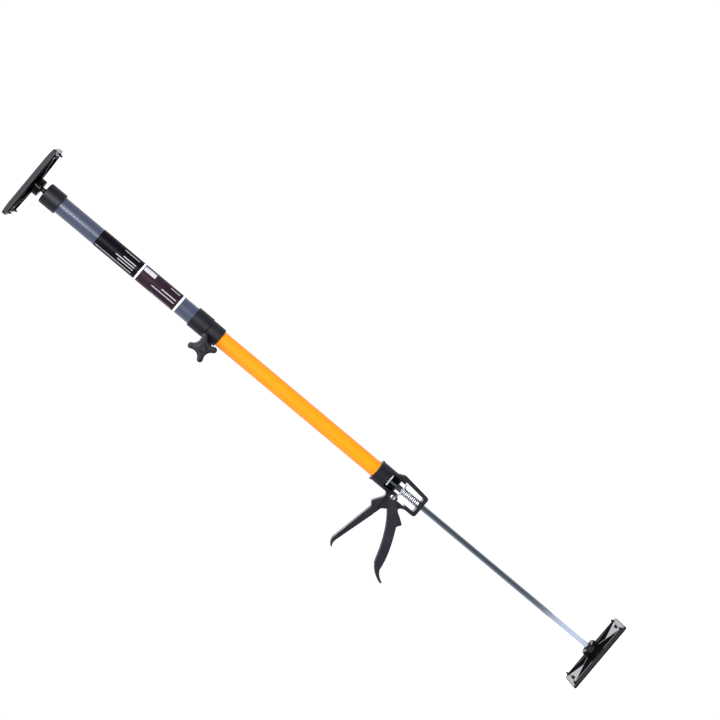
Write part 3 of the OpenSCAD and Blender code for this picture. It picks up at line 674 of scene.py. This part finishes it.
class POLE_OT_stage(bpy.types.Operator):
    """Set the floor, the soft lights and the camera at the photograph's viewing angle"""
    bl_idname = "pole.stage"
    bl_label = "Stage"

    floor_radius: length("Floor radius", "Radius of the pale floor", 380)

    def execute(self, context):
        deselect()
        bpy.ops.mesh.primitive_circle_add(vertices=96, radius=self.floor_radius, fill_type="TRIFAN",
                                          location=(0, 0, -0.0002))
        floor = context.object
        floor.name = "floor"
        bpy.ops.object.transform_apply(location=True)
        material, tree, shader, where = new_material("pale studio floor", (0.9, 0.9, 0.9), 0.9)
        bump(tree, shader, noise(tree, where, 3 * MM), 0.05 * MM, 0.2)
        dress(floor, material)
        self.camera()
        self.sun("left sun", -25, 55, 2.0)
        self.sun("right sun", 50, 50, 1.8)
        self.sun("back sun", 180, 75, 0.7)
        self.softbox("streak", (0.1, -3.0, 2.15), (0, 0, 1.0), (2.6, 1.5), 9.0, (0.96, 0.97, 1.0))
        self.softbox("backdrop", (0, 5.0, 2.2), (0, 0, 0.6), (3.4, 2.2), 2.2, (1.0, 0.95, 1.0))
        self.softbox("cap glow", (-0.16, -3.0, 1.52), (0, 0, 1.1), (0.2, 0.5), 40.0, (0.96, 0.98, 1.0))
        self.surroundings()
        context.scene.view_settings.view_transform = "Standard"
        return {"FINISHED"}

    def camera(self):
        """The photograph's camera: far off, a little beside the pole, tilted down and rolled. Its picture is
        half_width to either side, seen from focal_length, both in pixels."""
        half_width, focal_length = 360, 1900
        tilt_down, roll = 5.3344, -49.8638
        data = bpy.data.cameras.new("camera")
        data.sensor_fit = "HORIZONTAL"
        data.angle = 2 * math.atan(half_width / focal_length)
        data.clip_end = 200
        camera = bpy.data.objects.new("camera", data)
        bpy.context.scene.collection.objects.link(camera)
        camera.matrix_world = (Matrix.Translation((0.11366, -2.9346, 0.86191))
                               @ Matrix.Rotation(math.radians(90 - tilt_down), 4, "X")
                               @ Matrix.Rotation(math.radians(roll), 4, "Z"))
        bpy.context.scene.camera = camera

    def sun(self, name, azimuth, elevation, strength):
        """A wide soft light from far off; azimuth 0 is the camera's side."""
        data = bpy.data.lights.new(name, "SUN")
        data.energy = strength
        data.angle = math.radians(40)
        lamp = bpy.data.objects.new(name, data)
        a, e = math.radians(azimuth), math.radians(elevation)
        towards = Vector((math.sin(a) * math.cos(e), -math.cos(a) * math.cos(e), math.sin(e)))
        lamp.rotation_euler = (-towards).to_track_quat("-Z", "Y").to_euler()
        bpy.context.scene.collection.objects.link(lamp)

    def softbox(self, name, position, target, size, radiance, tint):
        """A flat panel light whose face has the given radiance and doesn't show in the picture."""
        data = bpy.data.lights.new(name, "AREA")
        data.color = tint
        data.shape = "RECTANGLE"
        data.size, data.size_y = size
        data.energy = radiance * math.pi * size[0] * size[1]
        lamp = bpy.data.objects.new(name, data)
        lamp.location = position
        lamp.rotation_euler = (Vector(target) - lamp.location).to_track_quat("-Z", "Y").to_euler()
        lamp.visible_camera = False
        bpy.context.scene.collection.objects.link(lamp)

    def surroundings(self):
        """White behind the object in the picture; for light and reflections, a pale backdrop on the far side
        and a dim room on the camera's side."""
        world = bpy.data.worlds.new("studio")
        bpy.context.scene.world = world
        world.use_nodes = True
        tree = world.node_tree
        white = tree.nodes["Background"]
        white.inputs["Color"].default_value = (1, 1, 1, 1)
        white.inputs["Strength"].default_value = 1.05
        towards = add(tree, "ShaderNodeTexCoord").outputs["Generated"]
        turned_room = add(tree, "ShaderNodeMapping", [(towards, "Vector")],
                          Rotation=(0, 0, math.radians(-15)))
        xyz = add(tree, "ShaderNodeSeparateXYZ", [(turned_room.outputs["Vector"], "Vector")]).outputs
        level = add(tree, "ShaderNodeMapRange", [(xyz["Y"], "Value")], From_Min=-0.95, From_Max=0.6,
                    To_Min=0.18, To_Max=1.0)
        room = add(tree, "ShaderNodeBackground", [(level.outputs["Result"], "Strength")],
                   Color=(0.95, 0.97, 1.0, 1))
        ray = add(tree, "ShaderNodeLightPath").outputs["Is Camera Ray"]
        both = add(tree, "ShaderNodeMixShader", [(ray, 0), (room.outputs[0], 1), (white.outputs[0], 2)])
        tree.links.new(both.outputs[0], tree.nodes["World Output"].inputs["Surface"])


class POLE_PT_sidebar(bpy.types.Panel):
    """Lists the pole's pieces, colours and sizes"""
    bl_label = "Support pole"
    bl_idname = "POLE_PT_sidebar"
    bl_space_type = "VIEW_3D"
    bl_region_type = "UI"
    bl_category = "Pole"

    def draw(self, context):
        layout = self.layout
        for operator in OPERATORS:
            layout.operator(operator.bl_idname)
        for group in (context.scene.pole_colours, context.scene.pole_sizes):
            for name in group.__annotations__:
                layout.prop(group, name)


OPERATORS = (POLE_OT_stage, POLE_OT_pads, POLE_OT_mouldings, POLE_OT_metalwork, POLE_OT_springs,
             POLE_OT_carried_over)
CLASSES = (PoleColours, PoleSizes, *OPERATORS, POLE_PT_sidebar)


def register():
    for item in CLASSES:
        bpy.utils.register_class(item)
    bpy.types.Scene.pole_colours = PointerProperty(type=PoleColours)
    bpy.types.Scene.pole_sizes = PointerProperty(type=PoleSizes)


def unregister():
    del bpy.types.Scene.pole_sizes
    del bpy.types.Scene.pole_colours
    for item in reversed(CLASSES):
        bpy.utils.unregister_class(item)


def main():
    register()
    bpy.ops.pole.stage()
    bpy.ops.pole.pads()
    bpy.ops.pole.mouldings()
    bpy.ops.pole.metalwork()
    bpy.ops.pole.springs()
    bpy.ops.pole.carried_over()


if __name__ == "__main__":
    main()
